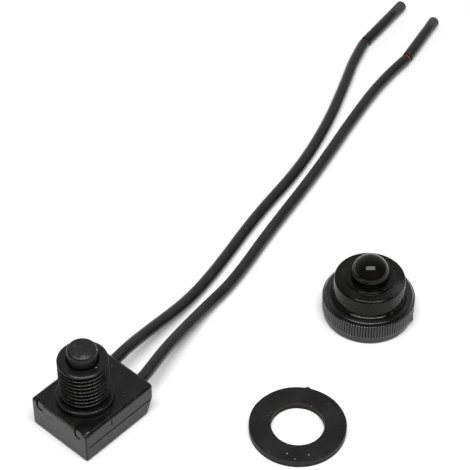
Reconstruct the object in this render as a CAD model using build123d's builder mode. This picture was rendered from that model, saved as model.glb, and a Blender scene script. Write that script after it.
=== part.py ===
from build123d import *

import os
from math import cos, pi, radians, sin, tan

os.makedirs("parts", exist_ok=True)

# Millimetres. The bushing's axis is the Z axis, the housing's underside is at Z = 0, and the leads leave
# towards +X. Left is +Y. The cap and the gasket lie beside the switch on the same surface.

# Housing
case_front = 7.3
case_rear = 11.1
case_width = 15.1
case_height = 7.4
side_wall = 1.1
front_wall = 0.8
floor_thickness = 1.0
roof_thickness = 0.75
rear_lean = 1.6
rear_corner_radius = 0.75
top_edge_radius = 0.7
bottom_edge_radius = 0.6
front_edge_radius = 0.45
seam_height = 0.35
seam_depth = 0.5
front_joint_gap = 0.05

# Locking tabs of the cover in the notches of the front wall
tab_width = 1.5
tab_offset = 5.25
tab_depth = 1.9
tab_recess = 0.15
tab_root = 0.5
tab_shift = 0.17
notch_gap = 0.2
notch_radius = 0.85

# Slit moulded in each side of the cover
slit_width = 0.35
slit_length = 1.7
slit_depth = 0.6
slit_from_top = 0.55
slit_behind_axis = 0.35

# Threaded bushing, M10 x 1, as the cylinder of its crests, and its seat collar
thread_diameter = 10.0
bushing_length = 9.55
collar_width = 0.75
collar_height = 1.3
collar_edge_radius = 0.3
rim_chamfer = 0.25
lip_thickness = 1.35
lip_width = 0.3

# Push button
button_diameter = 6.0
button_clearance = 0.3
button_protrusion = 2.9
button_edge_radius = 0.7
button_stroke = 2.0
flange_clearance = 0.15
flange_thickness = 0.95
flange_gap = 0.05
stem_radius = 1.6
nose_thickness = 0.8

# Return spring
spring_wire = 0.4
spring_clearance = 0.4
spring_turns = 7

# Ratchet rotor and contacts
rotor_radius = 4.5
rotor_headroom = 0.9
tooth_count = 8
tooth_inner_radius = 1.5
spring_seat_step = 0.1
tooth_root = 0.3
tooth_height = 2.0
tooth_tip_drop = 0.1
dog_count = 4
dog_width = 0.5
dog_clearance = 0.25
rotor_step = 22.5
dog_end_angle = -4.0
post_radius = 0.7
post_clearance = 0.05
post_drop = 0.6
star_thickness = 0.4
star_overlap = 0.45
star_arm_width = 1.5
contact_gap = 0.02
rivet_radius = 0.8
rivet_height = 0.35
rivet_shank_radius = 0.45
strip_thickness = 0.4
strip_width = 2.0
strip_overhang = 1.3
riser_clearance = 1.2
barrel_length = 2.4
barrel_wall = 0.35
fit_gap = 0.03

# Leads
lead_diameter = 2.5
core_diameter = 1.5
lead_spacing = 7.5
lead_roof_gap = 0.05
lead_hole_clearance = 0.15
lead_hole_land = 0.42
lead_entry = 1.4
lead_lift = 0.02
arc_share = 0.45
strip_gap = 0.8
strand_gap = 0.25
slug_tip_depth = 1.5
slug_edge_radius = 0.3

# Gasket washer, lying behind the bushing's axis and to its right
washer_behind = 26.4
washer_right = 31.8
washer_diameter = 19.2
washer_hole = 10.5
washer_thickness = 1.5
washer_edge_radius = 0.2

# Sealing cap: nut and boot, lying behind the bushing's axis and to its right
cap_behind = 60.2
cap_right = 21.6
nut_band_radius = 9.25
nut_band_height = 1.5
knurl_proud = 0.3
knurl_depth = 0.25
knurl_count = 104
nut_height = 5.6
nut_crown_height = 0.5
nut_crown_inset = 0.45
nut_wall = 0.6
nut_thread_clearance = 0.05
nut_thread_length = 3.0
nut_lip_thickness = 0.7
nut_edge = 0.3
boot_clearance = 0.1
boot_foot_radius = 7.5
boot_wall = 1.0
boot_bead_proud = 0.4
boot_bead_height = 0.4
boot_taper = 0.22
bell_height = 4.0
boot_shoulder_round = 0.3
boot_step_width = 1.5
boot_step_height = 0.4
neck_inset = 0.38
neck_height = 0.35
dome_radius = 3.98
dome_lift = 0.4

# Places and sizes that follow from the ones above. The leads run close under the roof, and the housing parts
# just below their holes.
washer_centre = (washer_behind, -washer_right)
cap_centre = (cap_behind, -cap_right)
roof_underside = case_height - roof_thickness
lead_radius = lead_diameter / 2
core_radius = core_diameter / 2
lead_height = roof_underside - lead_radius - lead_roof_gap
parting_height = lead_height - lead_radius - lead_hole_clearance - lead_hole_land
seat_height = case_height + collar_height
bushing_top = seat_height + bushing_length
lip_underside = bushing_top - lip_thickness
button_top = bushing_top + button_protrusion
flange_top = lip_underside - flange_gap
flange_bottom = flange_top - flange_thickness
strip_top = floor_thickness + strip_thickness
rivet_top = strip_top + rivet_height
star_bottom = rivet_top + contact_gap
star_top = star_bottom + star_thickness
rotor_top = roof_underside - rotor_headroom
tooth_tip = rotor_top - tooth_tip_drop
tooth_valley = tooth_tip - tooth_height
front_inside = -case_front + front_wall
cover_front = front_inside + front_joint_gap
rear_inside = case_rear - side_wall
lead_offset = lead_spacing / 2
lead_start = rear_inside - lead_entry
lead_floor = lead_radius + lead_lift
riser_start = rotor_radius + riser_clearance
star_reach = lead_offset + star_overlap
thread_radius = thread_diameter / 2
button_radius = button_diameter / 2
lip_radius = button_radius + button_clearance
bore_radius = lip_radius + lip_width
flange_radius = bore_radius - flange_clearance
spring_radius = bore_radius - spring_clearance - spring_wire / 2
tooth_outer_radius = spring_radius - spring_wire / 2 - spring_seat_step


def radial_plane(angle, radius):
    """Upright plane facing out from the bushing's axis: its X runs round the axis and its Y runs up."""
    turn = radians(angle)
    outward = (cos(turn), sin(turn), 0)
    around = (-sin(turn), cos(turn), 0)
    return Plane(origin=(0, 0, 0), x_dir=around, z_dir=outward).offset(radius)


def upright_plane(centre):
    """Upright plane through a centre on the ground, for a half profile that is turned about it."""
    return Plane(origin=(centre[0], centre[1], 0), x_dir=(1, 0, 0), z_dir=(0, -1, 0))


def upright_axis(centre):
    return Axis((centre[0], centre[1], 0), (0, 0, 1))


# Housing base: floor, half-height sides, full-height front wall and leaning rear wall
lean_above_floor = rear_lean * (1 - floor_thickness / parting_height)
notch_height = tab_depth + notch_gap
with BuildPart() as housing_base:
    with BuildSketch(Plane.XZ):
        with BuildLine():
            Polyline(
                (-case_front, 0),
                (case_rear - rear_lean, 0),
                (case_rear, parting_height),
                (front_inside, parting_height),
                (front_inside, case_height),
                (-case_front, case_height),
                close=True,
            )
        make_face()
    extrude(amount=case_width / 2, both=True)
    rear_corners = housing_base.faces().sort_by(Axis.X)[-1].edges().filter_by(Axis.Y, reverse=True)
    fillet(rear_corners, rear_corner_radius)
    fillet(housing_base.faces().sort_by(Axis.Z)[0].edges().sort_by(Axis.X)[1:], bottom_edge_radius)
    fillet(housing_base.faces().sort_by(Axis.Z)[-1].edges().filter_by(Axis.X), top_edge_radius)
    fillet(housing_base.faces().sort_by(Axis.X)[0].edges(), front_edge_radius)
    with BuildSketch(Plane.XZ):
        with BuildLine():
            Polyline(
                (front_inside, floor_thickness),
                (rear_inside - lean_above_floor, floor_thickness),
                (rear_inside, parting_height),
                (front_inside, parting_height),
                close=True,
            )
        make_face()
    extrude(amount=case_width / 2 - side_wall, both=True, mode=Mode.SUBTRACT)
    with BuildSketch(Plane.YZ.offset(-case_front)) as notches:
        with GridLocations(2 * tab_offset, 0, 2, 1):
            with Locations((0, case_height - notch_height / 2)):
                Rectangle(tab_width + 2 * notch_gap, notch_height)
        fillet(notches.vertices().group_by(Axis.Y)[0], notch_radius)
    extrude(amount=front_wall, mode=Mode.SUBTRACT)
    with BuildSketch(Plane.XY.offset(floor_thickness)):
        Circle(post_radius)
    extrude(amount=rotor_top - post_drop - floor_thickness)

# Top cover: roof, side bands, rear wall, seat collar and bushing in one moulding
with BuildPart() as top_cover:
    with BuildSketch(Plane.XY.offset(parting_height)) as cover_plan:
        with Locations(((cover_front + case_rear) / 2, 0)):
            Rectangle(case_rear - cover_front, case_width)
        fillet(cover_plan.vertices().group_by(Axis.X)[-1], rear_corner_radius)
    extrude(amount=case_height - parting_height)
    fillet(top_cover.faces().sort_by(Axis.Z)[-1].edges().sort_by(Axis.X)[1:], top_edge_radius)
    with BuildSketch(Plane.XY.offset(parting_height)):
        with Locations(((cover_front + rear_inside) / 2, 0)):
            with GridLocations(0, case_width - seam_depth, 1, 2):
                Rectangle(rear_inside - cover_front, seam_depth)
    extrude(amount=seam_height, mode=Mode.SUBTRACT)
    with BuildSketch(Plane.XY.offset(parting_height)):
        with Locations(((cover_front + rear_inside) / 2, 0)):
            Rectangle(rear_inside - cover_front, case_width - 2 * side_wall)
    extrude(amount=roof_underside - parting_height, mode=Mode.SUBTRACT)
    with BuildSketch(Plane.XY.offset(case_height)):
        Circle(thread_radius + collar_width)
    extrude(amount=collar_height)
    fillet(top_cover.faces().sort_by(Axis.Z)[-1].edges(), collar_edge_radius)
    with BuildSketch(Plane.XY.offset(seat_height)):
        Circle(thread_radius)
    extrude(amount=bushing_length)
    chamfer(top_cover.faces().sort_by(Axis.Z)[-1].edges(), rim_chamfer)
    with BuildSketch(Plane.XY.offset(roof_underside)):
        Circle(bore_radius)
    extrude(amount=lip_underside - roof_underside, mode=Mode.SUBTRACT)
    with BuildSketch(Plane.XY.offset(lip_underside)):
        Circle(lip_radius)
    extrude(amount=lip_thickness, mode=Mode.SUBTRACT)
    with BuildSketch(Plane.YZ.offset(-case_front + tab_recess)) as tabs:
        with GridLocations(2 * tab_offset, 0, 2, 1):
            with Locations((-tab_shift, case_height - tab_depth / 2)):
                Rectangle(tab_width, tab_depth)
        fillet(tabs.vertices().group_by(Axis.Y)[0], notch_radius - notch_gap)
    extrude(amount=cover_front + tab_root + case_front - tab_recess)
    for side in (1, -1):
        with BuildSketch(Plane.XZ.offset(-side * case_width / 2)):
            with Locations((-slit_behind_axis, case_height - slit_from_top - slit_length / 2)):
                Rectangle(slit_width, slit_length)
        extrude(amount=side * slit_depth, mode=Mode.SUBTRACT)
    with BuildSketch(Plane.YZ.offset(rear_inside)):
        with GridLocations(lead_spacing, 0, 2, 1):
            with Locations((0, lead_height)):
                Circle(lead_radius + lead_hole_clearance)
    extrude(amount=side_wall, mode=Mode.SUBTRACT)

# Push button: head, stop flange, stem and a nose with sloped drive dogs
dog_inner_radius = tooth_inner_radius + dog_clearance
dog_outer_radius = tooth_outer_radius - dog_clearance
tooth_width = 2 * dog_inner_radius * tan(radians(180 / tooth_count))
tooth_slope = tooth_height / tooth_width
dog_low_side = dog_inner_radius * sin(radians(dog_end_angle)) - dog_width / 2
dog_pressed = tooth_valley + tooth_height / 2 + tooth_slope * dog_low_side + dog_clearance
dog_bottom = dog_pressed + button_stroke
nose_bottom = rotor_top + dog_clearance + button_stroke
with BuildPart() as push_button:
    with BuildSketch(Plane.XZ):
        with BuildLine():
            Polyline(
                (0, nose_bottom),
                (dog_outer_radius, nose_bottom),
                (dog_outer_radius, nose_bottom + nose_thickness),
                (stem_radius, nose_bottom + nose_thickness),
                (stem_radius, flange_bottom),
                (flange_radius, flange_bottom),
                (flange_radius, flange_top),
                (button_radius, flange_top),
                (button_radius, button_top),
                (0, button_top),
                close=True,
            )
        make_face()
    revolve(axis=Axis.Z)
    fillet(push_button.faces().sort_by(Axis.Z)[-1].edges(), button_edge_radius)
    for index in range(dog_count):
        dog_plane = radial_plane(index * 360 / dog_count, dog_inner_radius)
        with BuildSketch(dog_plane):
            with BuildLine():
                Polyline(
                    (-dog_width / 2, dog_bottom),
                    (dog_width / 2, dog_bottom + tooth_slope * dog_width),
                    (dog_width / 2, nose_bottom + nose_thickness),
                    (-dog_width / 2, nose_bottom + nose_thickness),
                    close=True,
                )
            make_face()
        extrude(amount=dog_outer_radius - dog_inner_radius)

# Return spring between the rotor and the button's flange
spring_length = flange_bottom - rotor_top
with BuildPart() as return_spring:
    with BuildLine() as coil:
        Helix(
            pitch=(spring_length - spring_wire) / spring_turns,
            height=spring_length - spring_wire,
            radius=spring_radius,
            center=(0, 0, rotor_top + spring_wire / 2),
        )
    with BuildSketch(Plane(origin=coil.line @ 0, z_dir=coil.line % 0)):
        Circle(spring_wire / 2)
    sweep(is_frenet=True)

# Ratchet rotor: drum on the base's post, with a ring of sloped teeth in its top
with BuildPart() as ratchet_rotor:
    with BuildSketch(Plane.XY.offset(star_top)):
        Circle(rotor_radius)
    extrude(amount=rotor_top - star_top)
    with BuildSketch(Plane.XY.offset(tooth_valley)):
        Circle(tooth_outer_radius)
        Circle(tooth_inner_radius, mode=Mode.SUBTRACT)
    extrude(amount=rotor_top - tooth_valley, mode=Mode.SUBTRACT)
    first_tooth = -(dog_end_angle + rotor_step)
    tooth_foot_radius = tooth_inner_radius * cos(radians(180 / tooth_count))
    for index in range(tooth_count):
        with BuildSketch(radial_plane(first_tooth + index * 360 / tooth_count, tooth_foot_radius)):
            with BuildLine():
                Polyline(
                    (-tooth_width / 2, tooth_valley),
                    (tooth_width / 2, tooth_valley),
                    (tooth_width / 2, tooth_tip),
                    close=True,
                )
            make_face()
        extrude(amount=tooth_outer_radius + tooth_root - tooth_foot_radius)
    with BuildSketch(Plane.XY.offset(star_top)):
        Circle(post_radius + post_clearance)
    extrude(amount=rotor_top - star_top, mode=Mode.SUBTRACT)

# Contact star under the rotor
with BuildPart() as contact_star:
    with BuildSketch(Plane.XY.offset(star_bottom)):
        Rectangle(2 * star_reach, star_arm_width)
        Rectangle(star_arm_width, 2 * star_reach)
        Circle(star_arm_width)
        Circle(post_radius + post_clearance, mode=Mode.SUBTRACT)
    extrude(amount=star_thickness)

# Terminals on the base's floor, their contact rivets, and the leads
left_route = [
    (lead_start, lead_offset, lead_height),
    (11.6, lead_offset, lead_height),
    (15.4, 4.2, 5.5),
    (22.4, 5.1, 4.3),
    (36.0, 6.7, 1.6),
    (47.5, 9.0, lead_floor),
    (64.5, 13.6, lead_floor),
    (82.5, 16.7, lead_floor),
    (98.0, 21.8, lead_floor),
    (112.0, 28.2, lead_floor),
    (120.3, 32.4, lead_floor),
    (126.6, 34.6, lead_floor),
]
left_tip = (144.4, 37.3, lead_floor)
right_route = [
    (lead_start, -lead_offset, lead_height),
    (11.6, -lead_offset, lead_height),
    (15.4, -2.9, 5.5),
    (23.0, -0.6, 4.4),
    (36.5, 2.7, 1.6),
    (46.8, 3.8, lead_floor),
    (63.5, 8.4, lead_floor),
    (84.0, 13.1, lead_floor),
    (105.5, 19.4, lead_floor),
    (119.8, 22.8, lead_floor),
    (128.7, 23.4, lead_floor),
]
right_tip = (144.9, 27.6, lead_floor)


def bend_radii(route):
    """Largest tangent arc that the shorter run at each inner point of a lead's route leaves room for."""
    points = [Vector(*point) for point in route]
    radii = []
    for before, here, after in zip(points, points[1:], points[2:]):
        shorter = min((here - before).length, (after - here).length)
        half_turn = radians((here - before).get_angle(after - here)) / 2
        radii.append(arc_share * shorter / tan(half_turn))
    return radii


for hand, side, route, tip in (("left", 1, left_route, left_tip), ("right", -1, right_route, right_tip)):
    row = side * lead_offset
    barrel_plane = Plane.YZ.offset(riser_start)
    with BuildPart() as terminal:
        with BuildSketch(Plane.XY.offset(floor_thickness)):
            with Locations(((riser_start + strip_thickness - strip_overhang) / 2, row)):
                Rectangle(riser_start + strip_thickness + strip_overhang, strip_width)
            with Locations((0, row)):
                Circle(rivet_shank_radius + fit_gap, mode=Mode.SUBTRACT)
        extrude(amount=strip_thickness)
        with BuildSketch(barrel_plane):
            with Locations((row, (strip_top + lead_height) / 2)):
                Rectangle(strip_width, lead_height - strip_top)
        extrude(amount=strip_thickness)
        with BuildSketch(barrel_plane):
            with Locations((row, lead_height)):
                Circle(core_radius + fit_gap + barrel_wall)
        extrude(amount=barrel_length)
        with BuildSketch(barrel_plane):
            with Locations((row, lead_height)):
                Circle(core_radius + fit_gap)
        extrude(amount=barrel_length, mode=Mode.SUBTRACT)
    terminal.part.label = f"terminal_{hand}"
    export_step(terminal.part, f"parts/terminal_{hand}.step")

    with BuildPart() as rivet:
        with BuildSketch(Plane.XY.offset(floor_thickness)):
            with Locations((0, row)):
                Circle(rivet_shank_radius)
        extrude(amount=strip_thickness)
        with BuildSketch(Plane.XY.offset(strip_top)):
            with Locations((0, row)):
                Circle(rivet_radius)
        extrude(amount=rivet_height)
    rivet.part.label = f"rivet_{hand}"
    export_step(rivet.part, f"parts/rivet_{hand}.step")

    with BuildPart() as core:
        with BuildSketch(barrel_plane):
            with Locations((row, lead_height)):
                Circle(core_radius)
        extrude(amount=lead_start - riser_start)
    core.part.label = f"lead_{hand}_core"
    export_step(core.part, f"parts/lead_{hand}_core.step")

    radii = bend_radii(route)
    with BuildPart() as jacket:
        with BuildLine() as lead_path:
            FilletPolyline(*route, radius=radii)
        with BuildSketch(Plane(origin=lead_path.line @ 0, z_dir=lead_path.line % 0)):
            Circle(lead_radius)
        sweep()
    jacket.part.label = f"lead_{hand}_jacket"
    export_step(jacket.part, f"parts/lead_{hand}_jacket.step")
    print(f"lead_{hand} bend radii", [round(radius, 1) for radius in radii])
    lead_length = lead_path.wire().length
    print(f"lead_{hand} length", round(lead_length, 1))
    section_volume = pi * lead_radius**2 * lead_length
    print(f"lead_{hand} volume", round(jacket.part.volume, 1), "against", round(section_volume, 1))

    cut = Vector(*route[-1])
    along = (Vector(*tip) - cut).normalized()
    slug_start = cut + along * strip_gap
    slug_length = (Vector(*tip) - slug_start).length
    with BuildPart() as slug:
        with BuildSketch(Plane(origin=slug_start, z_dir=along)):
            Circle(lead_radius)
        extrude(amount=slug_length)
        fillet(slug.edges().sort_by(Axis.X)[-1:], slug_edge_radius)
        with BuildSketch(Plane(origin=slug_start, z_dir=along)):
            Circle(core_radius + fit_gap)
        extrude(amount=slug_length, mode=Mode.SUBTRACT)
    slug.part.label = f"lead_{hand}_slug"
    export_step(slug.part, f"parts/lead_{hand}_slug.step")

    with BuildPart() as strands:
        with BuildSketch(Plane(origin=cut + along * strand_gap, z_dir=along)):
            Circle(core_radius)
        extrude(amount=strip_gap - strand_gap + slug_length - slug_tip_depth)
    strands.part.label = f"lead_{hand}_strands"
    export_step(strands.part, f"parts/lead_{hand}_strands.step")

# Gasket washer
with BuildPart() as gasket_washer:
    with BuildSketch():
        with Locations(washer_centre):
            Circle(washer_diameter / 2)
            Circle(washer_hole / 2, mode=Mode.SUBTRACT)
    extrude(amount=washer_thickness)
    fillet(gasket_washer.edges().filter_by(GeomType.CIRCLE), washer_edge_radius)

# Cap nut: threaded floor, knurled side, and a lip over the boot's flange
lip_bottom = nut_height - nut_lip_thickness
knurl_top = nut_height - nut_crown_height
knurl_radius = nut_band_radius + knurl_proud
nut_bore_radius = thread_radius + nut_thread_clearance
nut_cavity_radius = nut_band_radius - nut_wall
with BuildPart() as cap_nut:
    with BuildSketch(upright_plane(cap_centre)):
        with BuildLine():
            Polyline(
                (nut_bore_radius, 0),
                (nut_band_radius - nut_edge, 0),
                (nut_band_radius, nut_edge),
                (nut_band_radius, knurl_top),
                (nut_band_radius - nut_crown_inset, nut_height),
                (boot_foot_radius + boot_clearance, nut_height),
                (boot_foot_radius + boot_clearance, lip_bottom),
                (nut_cavity_radius, lip_bottom),
                (nut_cavity_radius, nut_thread_length),
                (nut_bore_radius, nut_thread_length),
                close=True,
            )
        make_face()
    revolve(axis=upright_axis(cap_centre))
    knurl_plane = Plane(origin=(cap_centre[0], cap_centre[1], nut_band_height))
    with BuildSketch(knurl_plane):
        with BuildLine():
            ribs = []
            for index in range(2 * knurl_count):
                reach = knurl_radius - knurl_depth * (index % 2)
                turn = radians(index * 180 / knurl_count)
                ribs.append((reach * cos(turn), reach * sin(turn)))
            Polyline(*ribs, close=True)
        make_face()
        Circle(nut_band_radius - knurl_depth, mode=Mode.SUBTRACT)
    extrude(amount=knurl_top - nut_band_height)

# Sealing boot: flange in the nut, bead, bell, step and hollow dome
boot_floor = nut_thread_length + boot_clearance
bead_bottom = nut_height + boot_clearance
bead_top = bead_bottom + boot_bead_height
shoulder_height = bead_top + bell_height
step_top = shoulder_height + boot_step_height
neck_top = step_top + neck_height
dome_centre_height = neck_top + dome_lift
boot_flange_radius = nut_cavity_radius - boot_clearance
boot_bead_radius = boot_foot_radius + boot_bead_proud
boot_shoulder_radius = boot_foot_radius - boot_taper
neck_radius = dome_radius - neck_inset
boot_step_radius = neck_radius + boot_step_width
dome_foot = (dome_radius**2 - (dome_centre_height - neck_top) ** 2) ** 0.5
bell_inside = boot_foot_radius - boot_wall
dome_inside = dome_radius - boot_wall
bell_roof = shoulder_height - boot_wall
with BuildPart() as sealing_boot:
    with BuildSketch(upright_plane(cap_centre)) as boot_profile:
        with BuildLine():
            Polyline(
                (0, dome_centre_height + dome_inside),
                (0, dome_centre_height + dome_radius),
            )
            RadiusArc(
                (0, dome_centre_height + dome_radius),
                (dome_radius, dome_centre_height),
                dome_radius,
            )
            RadiusArc((dome_radius, dome_centre_height), (dome_foot, neck_top), dome_radius)
            Polyline(
                (dome_foot, neck_top),
                (neck_radius, neck_top),
                (neck_radius, step_top),
                (boot_step_radius, step_top),
                (boot_step_radius, shoulder_height),
                (boot_shoulder_radius, shoulder_height),
                (boot_foot_radius, bead_top),
                (boot_bead_radius, bead_top),
                (boot_bead_radius, bead_bottom),
                (boot_foot_radius, bead_bottom),
                (boot_foot_radius, lip_bottom - boot_clearance),
                (boot_flange_radius, lip_bottom - boot_clearance),
                (boot_flange_radius, boot_floor),
                (bell_inside, boot_floor),
                (bell_inside, bell_roof),
                (dome_inside, bell_roof),
                (dome_inside, dome_centre_height),
            )
            RadiusArc(
                (dome_inside, dome_centre_height),
                (0, dome_centre_height + dome_inside),
                -dome_inside,
            )
        make_face()
        shoulder_corner = (boot_shoulder_radius, shoulder_height)
        fillet(boot_profile.vertices().sort_by_distance(shoulder_corner)[0], boot_shoulder_round)
    revolve(axis=upright_axis(cap_centre))

for name, piece in (
    ("housing_base", housing_base),
    ("top_cover", top_cover),
    ("push_button", push_button),
    ("return_spring", return_spring),
    ("ratchet_rotor", ratchet_rotor),
    ("contact_star", contact_star),
    ("gasket_washer", gasket_washer),
    ("cap_nut", cap_nut),
    ("sealing_boot", sealing_boot),
):
    piece.part.label = name
    export_step(piece.part, f"parts/{name}.step")
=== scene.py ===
# %% [markdown]
# A small push button lamp switch, taken apart on a pale table. Three things lie there: the switch with its
# two leads, the sealing cap (a knurled nut that holds a soft boot) and a flat gasket washer. All of them
# are black, so the eye reads them by their highlights alone: satin plastic, glossy rubber and dull rubber
# differ in how they blur what they mirror. The construction comes in as a fixed frame. This lesson adds the
# finish of each surface, and the forms that are too fine for the construction: the thread, the rounded
# knurl, the twisted copper, the dust.

# %% Load the construction
import math

import bmesh
import bpy
from mathutils import Matrix, Vector, noise


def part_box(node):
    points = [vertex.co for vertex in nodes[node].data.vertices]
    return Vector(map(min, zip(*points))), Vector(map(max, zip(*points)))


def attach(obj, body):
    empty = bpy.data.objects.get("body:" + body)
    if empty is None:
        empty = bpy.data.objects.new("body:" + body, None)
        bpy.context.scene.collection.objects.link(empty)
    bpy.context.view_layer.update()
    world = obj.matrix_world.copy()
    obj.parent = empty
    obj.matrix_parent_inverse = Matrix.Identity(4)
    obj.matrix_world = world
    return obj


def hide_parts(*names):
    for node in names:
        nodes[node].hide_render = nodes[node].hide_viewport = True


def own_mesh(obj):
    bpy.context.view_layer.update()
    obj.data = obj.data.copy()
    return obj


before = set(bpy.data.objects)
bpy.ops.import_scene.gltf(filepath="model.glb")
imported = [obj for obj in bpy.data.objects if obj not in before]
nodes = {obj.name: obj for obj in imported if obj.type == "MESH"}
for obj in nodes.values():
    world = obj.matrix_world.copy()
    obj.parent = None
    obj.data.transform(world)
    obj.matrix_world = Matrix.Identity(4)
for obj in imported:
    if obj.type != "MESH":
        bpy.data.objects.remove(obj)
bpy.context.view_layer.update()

MM = 0.001

# %% [markdown]
# The camera stands where the photograph was taken from, with a long lens, and looks down at a little under
# 45 degrees. Its place was worked out from the round outlines of the washer, the nut and the bushing.
# Building the camera's three axes by hand is surer than aiming it with a constraint, because the small roll
# of the photograph is kept.

# %% Camera
photo_pixels = 470
focal_pixels = 1920.8
sensor_width = 36.0
camera_place = Vector((-161.31, -185.75, 290.35)) * MM
camera_dip = math.radians(44.38)
camera_heading = math.radians(42.285)
camera_roll = math.radians(-0.246)

forward = Vector(
    (
        math.cos(camera_dip) * math.cos(camera_heading),
        math.cos(camera_dip) * math.sin(camera_heading),
        -math.sin(camera_dip),
    )
)
level_right = Vector((math.sin(camera_heading), -math.cos(camera_heading), 0))
level_down = forward.cross(level_right)
camera_right = level_right * math.cos(camera_roll) + level_down * math.sin(camera_roll)
camera_up = level_right * math.sin(camera_roll) - level_down * math.cos(camera_roll)

camera = bpy.data.objects.new("camera", bpy.data.cameras.new("camera"))
camera.data.sensor_width = sensor_width
camera.data.lens = focal_pixels * sensor_width / photo_pixels
camera.data.clip_start = 0.01
camera.matrix_world = Matrix.Translation(camera_place) @ Matrix(
    (camera_right, camera_up, -forward)
).transposed().to_4x4()
bpy.context.scene.collection.objects.link(camera)
bpy.context.scene.camera = camera
bpy.context.scene.view_settings.view_transform = "Standard"
print("camera: lens", round(camera.data.lens, 1), "mm")

# %% [markdown]
# The leads are two short insulated wires. A lead is best made as a curve, not as a mesh: a smooth spline
# goes through the air and along the table by a few control points, and a round bevel gives it its
# thickness. An order of 3 is the softest curve that still follows its points closely. The order is set
# after the points are there, since a spline with too few points refuses it.

# %% Leads
lead_diameter = 2.5 * MM
left_route = [
    (8.6, 3.75, 5.35),
    (11.6, 3.75, 5.35),
    (15.4, 4.2, 5.5),
    (22.4, 5.1, 4.3),
    (36.0, 6.7, 1.6),
    (47.5, 9.0, 1.27),
    (64.5, 13.6, 1.27),
    (82.5, 16.7, 1.27),
    (98.0, 21.8, 1.27),
    (112.0, 28.2, 1.27),
    (120.3, 32.4, 1.27),
    (126.6, 34.6, 1.27),
]
left_tip = (144.4, 37.3, 1.27)
right_route = [
    (8.6, -3.75, 5.35),
    (11.6, -3.75, 5.35),
    (15.4, -2.9, 5.5),
    (23.0, -0.6, 4.4),
    (36.5, 2.7, 1.6),
    (46.8, 3.8, 1.27),
    (63.5, 8.4, 1.27),
    (84.0, 13.1, 1.27),
    (105.5, 19.4, 1.27),
    (119.8, 22.8, 1.27),
    (128.7, 23.4, 1.27),
]
right_tip = (144.9, 27.6, 1.27)


def laid_lead(name, route):
    """A round lead along a route of control points, in millimetres."""
    curve = bpy.data.curves.new(name, "CURVE")
    curve.dimensions = "3D"
    curve.resolution_u = 20
    curve.bevel_depth = lead_diameter / 2
    curve.bevel_resolution = 7
    curve.use_fill_caps = True
    spline = curve.splines.new("NURBS")
    spline.points.add(len(route) - 1)
    for point, place in zip(spline.points, route):
        point.co = (*(Vector(place) * MM), 1.0)
    spline.order_u = 3
    spline.use_endpoint_u = True
    lead = bpy.data.objects.new(name, curve)
    bpy.context.scene.collection.objects.link(lead)
    return lead


left_lead = laid_lead("left_lead", left_route)
right_lead = laid_lead("right_lead", right_route)
print("leads:", left_lead.name, "and", right_lead.name)

# %% [markdown]
# Most of the other pieces were turned or moulded round an axis, so one helper revolves a half profile of
# radius and height. Blender's Screw modifier could do it, but a loop can also change the radius as it goes
# round, which is how the thread, the knurl and small flaws are put into real geometry. A second helper
# rounds a profile's corners, since no moulded edge is sharp and it is the rounding that catches the light.

# %% Mesh helpers


def add_piece(name, bm, sharp_angle=40):
    """Turns a bmesh into an object that is smooth apart from edges above the angle, in degrees."""
    bmesh.ops.recalc_face_normals(bm, faces=bm.faces)
    mesh = bpy.data.meshes.new(name)
    bm.to_mesh(mesh)
    bm.free()
    mesh.shade_smooth()
    mesh.set_sharp_from_angle(angle=math.radians(sharp_angle))
    piece = bpy.data.objects.new(name, mesh)
    bpy.context.scene.collection.objects.link(piece)
    return piece


def rounded(corners, steps=5):
    """Profile points of a closed outline. Each corner is (radius, height, rounding)."""
    points = []
    for index, (radius, height, rounding) in enumerate(corners):
        here = Vector((radius, height))
        if rounding == 0:
            points.append(here)
            continue
        to_last = (Vector(corners[index - 1][:2]) - here).normalized()
        to_next = (Vector(corners[(index + 1) % len(corners)][:2]) - here).normalized()
        half_angle = to_last.angle(to_next) / 2
        centre = here + (to_last + to_next).normalized() * rounding / math.sin(half_angle)
        start = here + to_last * rounding / math.tan(half_angle) - centre
        end = here + to_next * rounding / math.tan(half_angle) - centre
        for step in range(steps + 1):
            toward = start.normalized().slerp(end.normalized(), step / steps)
            points.append(centre + toward * rounding)
    return points


def stretch(first, last, count):
    """Evenly spaced profile points from the first to the last, both included."""
    return [Vector(first).lerp(Vector(last), step / count) for step in range(count + 1)]


def add_ring(bm, radius, height, segments, centre, shape):
    """One ring of vertices, or a single vertex on the axis."""
    if radius == 0:
        return [bm.verts.new((centre[0] * MM, centre[1] * MM, height * MM))]
    ring = []
    for index in range(segments):
        angle = 2 * math.pi * index / segments
        reach = shape(angle, radius, height) if shape else radius
        across = Vector((math.cos(angle), math.sin(angle))) * reach + Vector(centre)
        ring.append(bm.verts.new((across.x * MM, across.y * MM, height * MM)))
    return ring


def join_rings(bm, below, above, segments):
    """Quads between two rings, or triangles where one of them is a single vertex."""
    for index in range(segments):
        corners = []
        for ring, step in ((below, 0), (below, 1), (above, 1), (above, 0)):
            vertex = ring[(index + step) % len(ring)]
            if vertex not in corners:
                corners.append(vertex)
        bm.faces.new(corners)


def turned(name, profile, segments, centre, shape=None):
    """A piece turned about an upright axis from points of (radius, height), in millimetres."""
    bm = bmesh.new()
    rings = [add_ring(bm, radius, height, segments, centre, shape) for radius, height in profile]
    for below, above in zip(rings, rings[1:]):
        join_rings(bm, below, above, segments)
    if len(rings[0]) > 1:
        join_rings(bm, rings[-1], rings[0], segments)
    return add_piece(name, bm)


def smooth_step(share):
    """0 below 0, 1 above 1, and an even S between."""
    share = min(1.0, max(0.0, share))
    return share * share * (3 - 2 * share)


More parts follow.
